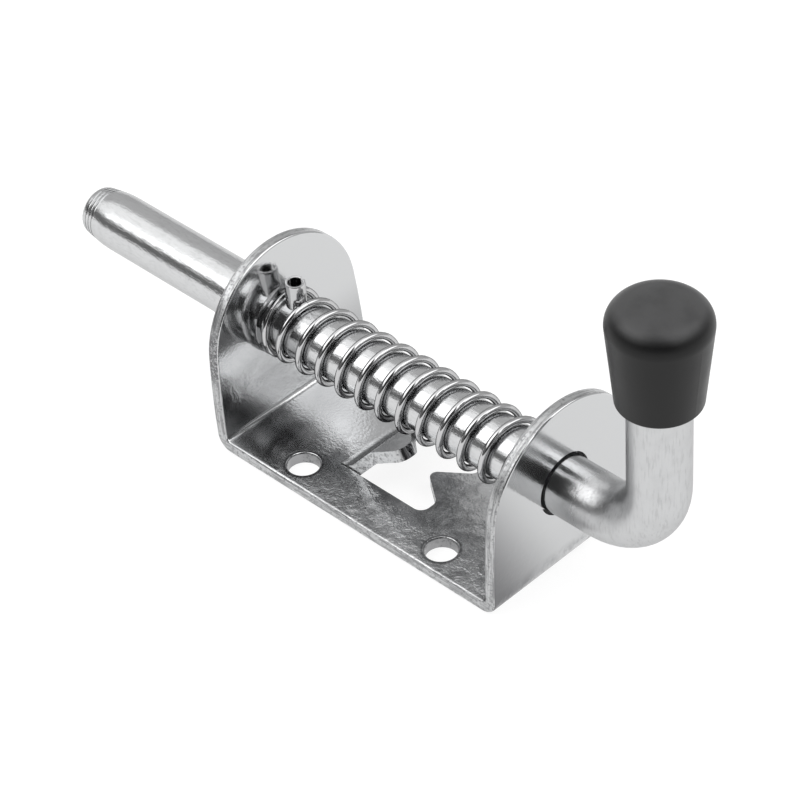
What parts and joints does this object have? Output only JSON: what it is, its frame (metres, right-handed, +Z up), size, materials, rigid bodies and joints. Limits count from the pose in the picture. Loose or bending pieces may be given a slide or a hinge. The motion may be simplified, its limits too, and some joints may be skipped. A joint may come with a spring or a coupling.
{
  "type": "spring loaded gate latch",
  "caption": "Gate latch: a round bolt with a bent handle slides and turns in a folded steel bracket, pushed out by a coil spring, with a forked tongue that holds it open.",
  "frame": {"origin": "centre of the base's underside, on the mounting plane and midway between the screw holes", "axes": "+X along the bolt from its nose to its handle, +Y to the rear side, +Z up from the mounting plane"},
  "size_m": [0.1613, 0.0396, 0.0755],
  "materials": {
    "zinc_sheet": "bright zinc plate",
    "zinc_rod": "bright zinc plate",
    "spring_steel": "polished",
    "pin_steel": "bright",
    "black_rubber": "satin"
  },
  "bodies": {
    "bracket": {"bracket": "zinc_sheet"},
    "spring": {"compression_spring": "spring_steel"},
    "bolt": {"bolt_rod": "zinc_rod", "roll_pin": "pin_steel", "grip_cap": "black_rubber"}
  },
  "joints": [
    {"name": "bolt_turn", "type": "hinge", "parent": "bracket", "child": "spring", "pos_m": [0, 0, 0.0205], "axis": [1, 0, 0], "continuous": true},
    {"name": "bolt_slide", "type": "slide", "parent": "spring", "child": "bolt", "axis": [1, 0, 0], "range_m": [0, 0.04], "stiffness_N_per_m": 1185, "springref_m": -0.01, "deforming": ["compression_spring"]}
  ]
}
